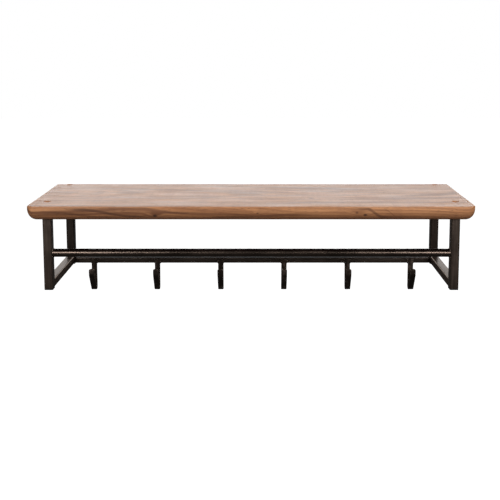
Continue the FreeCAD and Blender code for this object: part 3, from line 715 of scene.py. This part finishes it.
def hooks(steel):
    """Every hook is the same strip: stem, tight bend, leaning limb, and a nearly upright tip."""
    low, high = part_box(HOOKS[0])
    stem = -HOOK_THICKNESS / 2
    drop = low.z - high.z
    tip_y = low.y - high.y + HOOK_THICKNESS / 2 - 0.2 * MM
    tip_z = drop + HOOK_RISE
    bend_z = drop + HOOK_THICKNESS / 2 + HOOK_BEND
    limb_y = stem - HOOK_BEND - HOOK_BEND * math.cos(LIMB_LEAN)
    limb_z = bend_z - HOOK_BEND * math.sin(LIMB_LEAN)
    corner_z = limb_z - (stem - limb_y) / math.tan(LIMB_LEAN)
    knee_z = limb_z + (limb_y - tip_y) / math.tan(LIMB_LEAN)
    path = [(0, stem, 0), (0, stem, corner_z), (0, tip_y, knee_z), (0, tip_y - 0.5 * MM, tip_z)]
    places = points_object("hook_places", [(middle(name).x, high.y, high.z) for name in HOOKS])
    values = {"Width": high.x - low.x, "Thickness": HOOK_THICKNESS, "Edge": 1.3 * MM,
              "Bend": HOOK_BEND, "Knee": HOOK_KNEE, "Tip": HOOK_TIP, "Places": places,
              "Lean": HOOK_SCATTER, "Finish": steel}
    piece = run_tree("hooks_bent", strip_tree(), path_object("strip_path", [path]), values,
                     [places])
    soften(piece.data, 30)
    finish_piece(piece, HOOKS)


def beads(name, node, paths, leg, steel):
    values = {"Leg": leg, "Ripple": RIPPLE, "Finish": steel}
    piece = run_tree(name, bead_tree(), path_object(f"{name}_path", paths), values)
    finish_piece(piece, [node])


def rail_paths():
    """Arcs over and under both ends of the rail."""
    low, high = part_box("hanging_rail")
    centre_y, centre_z = (low.y + high.y) / 2, (low.z + high.z) / 2
    radius = (high.z - low.z) / 2 + 0.2 * MM
    paths = []
    for x in (low.x + 0.5 * MM, high.x - 0.5 * MM):
        for facing in (90, 270):
            arc = []
            for aside in range(-RAIL_BEAD_REACH, RAIL_BEAD_REACH + 1, RAIL_BEAD_STEP):
                angle = math.radians(facing + aside)
                arc.append((x, centre_y + radius * math.cos(angle),
                            centre_z + radius * math.sin(angle)))
            paths.append(arc)
    return paths


def frame_paths():
    """Seams on top of the side bars, at each upright, and on top of the hook bar's ends."""
    bar_low, bar_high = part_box("hook_bar")
    inset, proud = 2.4 * MM, 0.4 * MM
    paths = []
    for side, sign in SIDES.items():
        front_low, front_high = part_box(f"front_upright_{side}")
        rear_low, rear_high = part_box(f"rear_upright_{side}")
        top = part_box(f"side_bar_{side}")[1].z + proud
        paths.append([(front_low.x + inset, front_high.y + proud, top),
                      (front_high.x - inset, front_high.y + proud, top)])
        paths.append([(rear_low.x + inset, rear_low.y - proud, top),
                      (rear_high.x - inset, rear_low.y - proud, top)])
        inner = rear_high.x if sign < 0 else rear_low.x
        x, z = inner - sign * proud, bar_high.z + proud
        paths.append([(x, bar_low.y + inset, z), (x, bar_high.y - inset, z)])
    return paths


def hook_paths():
    """Upright seams beside each hook's stem, on the front of the hook bar."""
    bar_low, bar_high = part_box("hook_bar")
    paths = []
    for name in HOOKS:
        low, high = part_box(name)
        for x in (low.x - 0.2 * MM, high.x + 0.2 * MM):
            paths.append([(x, bar_low.y - 0.3 * MM, high.z),
                          (x, bar_low.y - 0.3 * MM, bar_low.z - 0.6 * MM)])
    return paths


def plate_paths():
    """One upright seam along the outer edge of each wall plate's front."""
    inset, end_gap = 0.4 * MM, 3 * MM
    paths = []
    for side, sign in SIDES.items():
        low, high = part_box(f"wall_plate_{side}")
        x = (low.x + inset) if sign < 0 else (high.x - inset)
        y = low.y - inset
        paths.append([(x, y, low.z + end_gap), (x, y, high.z - end_gap)])
    return paths


def screw_part():
    """Button head with a hexagon socket, over a plain shank."""
    low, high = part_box("board_screws")
    seat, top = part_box("board_washers")[1].z, high.z
    dome = top - seat - HEAD_SIDE
    rings = [round_ring(SHANK_END, low.z), round_ring(SHANK_RADIUS, low.z + 0.8 * MM),
             round_ring(SHANK_RADIUS, seat), round_ring(HEAD_RADIUS - 0.25 * MM, seat),
             round_ring(HEAD_RADIUS, seat + 0.25 * MM)]
    for i in range(HEAD_STEPS + 1):
        angle = math.pi / 2 * i / HEAD_STEPS
        reach = CROWN_RADIUS + (HEAD_RADIUS - CROWN_RADIUS) * math.cos(angle)
        rings.append(round_ring(reach, seat + HEAD_SIDE + dome * math.sin(angle)))
    socket = [(4.3, top), (4.0, top - 0.2 * MM), (4.0, seat + 1.3 * MM), (0.6, seat + 0.7 * MM)]
    for across, z in socket:
        rings.append(hexagon_ring(across * MM, z))
    return mesh_from_bmesh("screw_part", stacked_rings(rings))


def washer_part():
    """A flat ring with eased edges."""
    low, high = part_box("board_washers")
    inner, outer, ease = WASHER_INNER, WASHER_OUTER, WASHER_EASE
    outline = [(inner + ease, low.z), (outer - ease, low.z), (outer, low.z + ease),
               (outer, high.z - ease), (outer - ease, high.z), (inner + ease, high.z),
               (inner, high.z - ease), (inner, low.z + ease), (inner + ease, low.z)]
    bm = stacked_rings([round_ring(radius, z) for radius, z in outline], capped=False)
    bmesh.ops.remove_doubles(bm, verts=bm.verts, dist=1e-6)
    bmesh.ops.recalc_face_normals(bm, faces=bm.faces)
    return mesh_from_bmesh("washer_part", bm)


def plug_part():
    """A flange with a rolled rim and a slightly sunk middle, and a stub up inside the tube."""
    low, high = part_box("foot_plug_front_left")
    tube_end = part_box("front_upright_left")[0].z
    half = (high.x - low.x) / 2
    # Each ring's inset from the flange's side and its corner radius, in millimetres, and height.
    flange = [(5.0, 1.2, low.z + 0.35 * MM), (3.4, 1.5, low.z + 0.3 * MM), (2.9, 1.6, low.z),
              (0.6, 1.9, low.z), (0.18, 2.0, low.z + 0.18 * MM), (0, 2.0, low.z + 0.6 * MM),
              (0, 2.0, tube_end - 0.12 * MM), (0.12, 2.0, tube_end)]
    rings = [square_ring(half - inset * MM, corner * MM, z) for inset, corner, z in flange]
    stub = half - STUB_INSET
    rings.append(square_ring(stub, STUB_CHAMFER, tube_end))
    rings.append(square_ring(stub, STUB_CHAMFER, high.z - 1.0 * MM))
    rings.append(square_ring(stub - STUB_CHAMFER, STUB_CHAMFER, high.z))
    return mesh_from_bmesh("plug_part", stacked_rings(rings))


def repeated(name, nodes, part, turn, finish):
    """The part at every corner of the board, turned by up to the given angle."""
    places = [(middle(f"tapped_plate_{c}").x, middle(f"tapped_plate_{c}").y, 0) for c in CORNERS]
    source = new_object(f"{name}_part", part)
    values = {"Part": source, "Turn": turn, "Finish": finish}
    piece = run_tree(name, repeat_tree(), points_object(f"{name}_places", places), values,
                     [source])
    soften(piece.data, 30)
    finish_piece(piece, nodes)


# ---------------------------------------------------------------- put the rack together

TUBE_TINT = shade(0.088, 0.064, 0.051)
# Painted shade: the hook bar and the rear uprights are the same steel as the front uprights, given
# darker tints for the shade under the board.
CROSS_SHADED_TINT = shade(0.050, 0.037, 0.030)
REAR_SHADED_TINT = shade(0.030, 0.022, 0.018)
HOOK_TINT = shade(0.062, 0.046, 0.037)
UPRIGHT_MILL, CROSS_MILL, SIDE_MILL = (900, 900, 12), (12, 900, 900), (900, 12, 900)

wood = oiled_hardwood()
plate_lacquer = lacquered_steel("lacquered_tube", TUBE_TINT, 0.36, (60, 60, 60), 0.10)
upright_steel = lacquered_steel("lacquered_upright", TUBE_TINT, 0.30, UPRIGHT_MILL, 0.05)
# Painted shade: a darker copy of the upright steel.
rear_shaded_steel = lacquered_steel("lacquered_rear_upright_shaded", REAR_SHADED_TINT, 0.34, UPRIGHT_MILL, 0.03,
                             marks=0.12)
# Painted shade: a darker copy of the steel, with its glancing reflections dimmed as well.
cross_shaded_steel = lacquered_steel("lacquered_cross_bar_shaded", CROSS_SHADED_TINT, 0.36, CROSS_MILL, 0.03,
                              marks=0.30, rim=0.25)
# Painted shade on the reflections: the side bars are the same steel, with their glancing reflections
# dimmed.
side_dimmed_steel = lacquered_steel("lacquered_side_bar_dimmed", TUBE_TINT, 0.36, SIDE_MILL, 0.05,
                             rim=0.50)
rail_steel = lacquered_steel("lacquered_rail", TUBE_TINT, 0.22, (14, 700, 700), 0.03,
                             marks=0.15, relief=0.22)
hook_steel = lacquered_steel("lacquered_hook", HOOK_TINT, 0.36, (70, 70, 70), 0.06,
                             rub=0.85)
weld_steel = lacquered_steel("lacquered_weld", TUBE_TINT, 0.30, (240, 240, 240), 0.10)
fastener_steel = plain_steel("blackened_fastener", shade(0.030, 0.029, 0.030),
                             shade(0.11, 0.108, 0.11), 0.32, 0.5)
plate_steel = plain_steel("bare_plate", shade(0.22, 0.21, 0.20), shade(0.42, 0.41, 0.40),
                          0.35, 0.55)
plastic = moulded_plastic()

shelf_board(wood)
hooks(hook_steel)
beads("rail_weld_beads", "rail_welds", rail_paths(), THIN_BEAD, weld_steel)
beads("frame_weld_beads", "frame_welds", frame_paths(), WIDE_BEAD, weld_steel)
beads("hook_weld_beads", "hook_welds", hook_paths(), THIN_BEAD, weld_steel)
beads("plate_weld_beads", "wall_plate_welds", plate_paths(), WIDE_BEAD, weld_steel)
repeated("screws_button_head", ["board_screws"], screw_part(), math.pi, fastener_steel)
repeated("washers_plain", ["board_washers"], washer_part(), math.pi, fastener_steel)
repeated("foot_plugs_moulded", [f"foot_plug_{c}" for c in CORNERS], plug_part(), 0.0, plastic)

# The pieces that keep their CAD shape.
finishes = {"hook_bar": cross_shaded_steel, "hanging_rail": rail_steel}
for side in SIDES:
    finishes[f"side_bar_{side}"] = side_dimmed_steel
    finishes[f"wall_plate_{side}"] = plate_lacquer
    finishes[f"front_upright_{side}"] = upright_steel
    finishes[f"rear_upright_{side}"] = rear_shaded_steel
for corner in CORNERS:
    finishes[f"tapped_plate_{corner}"] = plate_steel
for name, finish in finishes.items():
    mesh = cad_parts[name].data
    mesh.materials.clear()
    mesh.materials.append(finish)


# ---------------------------------------------------------------- floor, light, camera


def pale_floor():
    """A bright floor a metre below the rack, which lights nothing and is not mirrored."""
    material, t, place = new_material("pale_floor")
    tone = t.blend(t.speckle(place, 3.0), shade(0.90, 0.90, 0.895), shade(0.93, 0.93, 0.93))
    finish_material(t, Base_Color=tone, Roughness=0.9, Emission_Color=shade(1, 1, 1),
                    Emission_Strength=1.0)
    bm = bmesh.new()
    bmesh.ops.create_grid(bm, x_segments=2, y_segments=2, size=14)
    bmesh.ops.translate(bm, verts=bm.verts, vec=(0, 0, CAD_BOX[0].z - 1.0))
    floor = new_object("floor", mesh_from_bmesh("floor", bm))
    floor.data.materials.append(material)
    floor.visible_diffuse = False
    floor.visible_glossy = False


def soft_light(name, place, aim, width, height, radiance, tint=(1, 1, 1)):
    """A rectangle of light of the given brightness, which the camera does not see."""
    data = bpy.data.lights.new(name, "AREA")
    data.shape = "RECTANGLE"
    data.size = width
    data.size_y = height
    data.color = tint
    data.energy = radiance * math.pi * width * height
    lamp = new_object(name, data)
    lamp.location = place
    lamp.rotation_mode = "QUATERNION"
    lamp.rotation_quaternion = (Vector(aim) - Vector(place)).to_track_quat("-Z", "Y")
    lamp.visible_camera = False


def soft_room():
    """White to the camera, and a much dimmer even light on the rack."""
    world = bpy.data.worlds.new("soft_room")
    bpy.context.scene.world = world
    world.use_nodes = True
    world.node_tree.nodes.clear()
    t = Tree(world.node_tree)
    seen = t.add("ShaderNodeLightPath").outputs["Is Camera Ray"]
    dim = 0.055
    strength = t.ramp(seen, 0.0, 1.0, dim, 1.0)
    background = t.add("ShaderNodeBackground", {"Color": shade(1, 1, 1), "Strength": strength})
    output = t.add("ShaderNodeOutputWorld")
    t.tree.links.new(background.outputs[0], output.inputs[0])


def camera():
    data = bpy.data.cameras.new("camera")
    data.sensor_width = 36.0
    data.lens = 55.745
    data.shift_x = -0.022
    data.shift_y = -0.25
    looking_down = 6.12
    seen = new_object("camera", data)
    seen.location = (0.0199, -1.7643, 0.3781)
    seen.rotation_euler = (math.radians(90 - looking_down), 0, 0)
    bpy.context.scene.camera = seen


pale_floor()
soft_room()
soft_light("back_card", (0, 2.6, 0.52), (0, 0, 0.1), 6.0, 1.10, 4.2, (0.90, 0.96, 1.0))
soft_light("front_left", (-1.35, -2.1, 0.74), (-0.1, -0.1, 0), 1.45, 0.48, 11.0)
soft_light("front_right", (1.48, -2.1, 0.72), (0.1, -0.1, 0), 1.75, 0.48, 12.5)
soft_light("low_left", (-1.25, -2.1, -0.20), (-0.3, -0.1, 0), 1.3, 0.42, 0.75)
soft_light("low_right", (1.25, -2.1, -0.20), (0.3, -0.1, 0), 1.3, 0.42, 0.75)
soft_light("deep_left", (-1.10, -2.0, -0.78), (-0.3, -0.1, 0), 1.2, 0.50, 0.03)
soft_light("deep_right", (1.10, -2.0, -0.78), (0.3, -0.1, 0), 1.2, 0.50, 0.03)
soft_light("overhead", (0, -0.85, 2.3), (0, -0.1, 0), 3.2, 0.9, 2.2)
camera()
bpy.context.scene.view_settings.view_transform = "Standard"
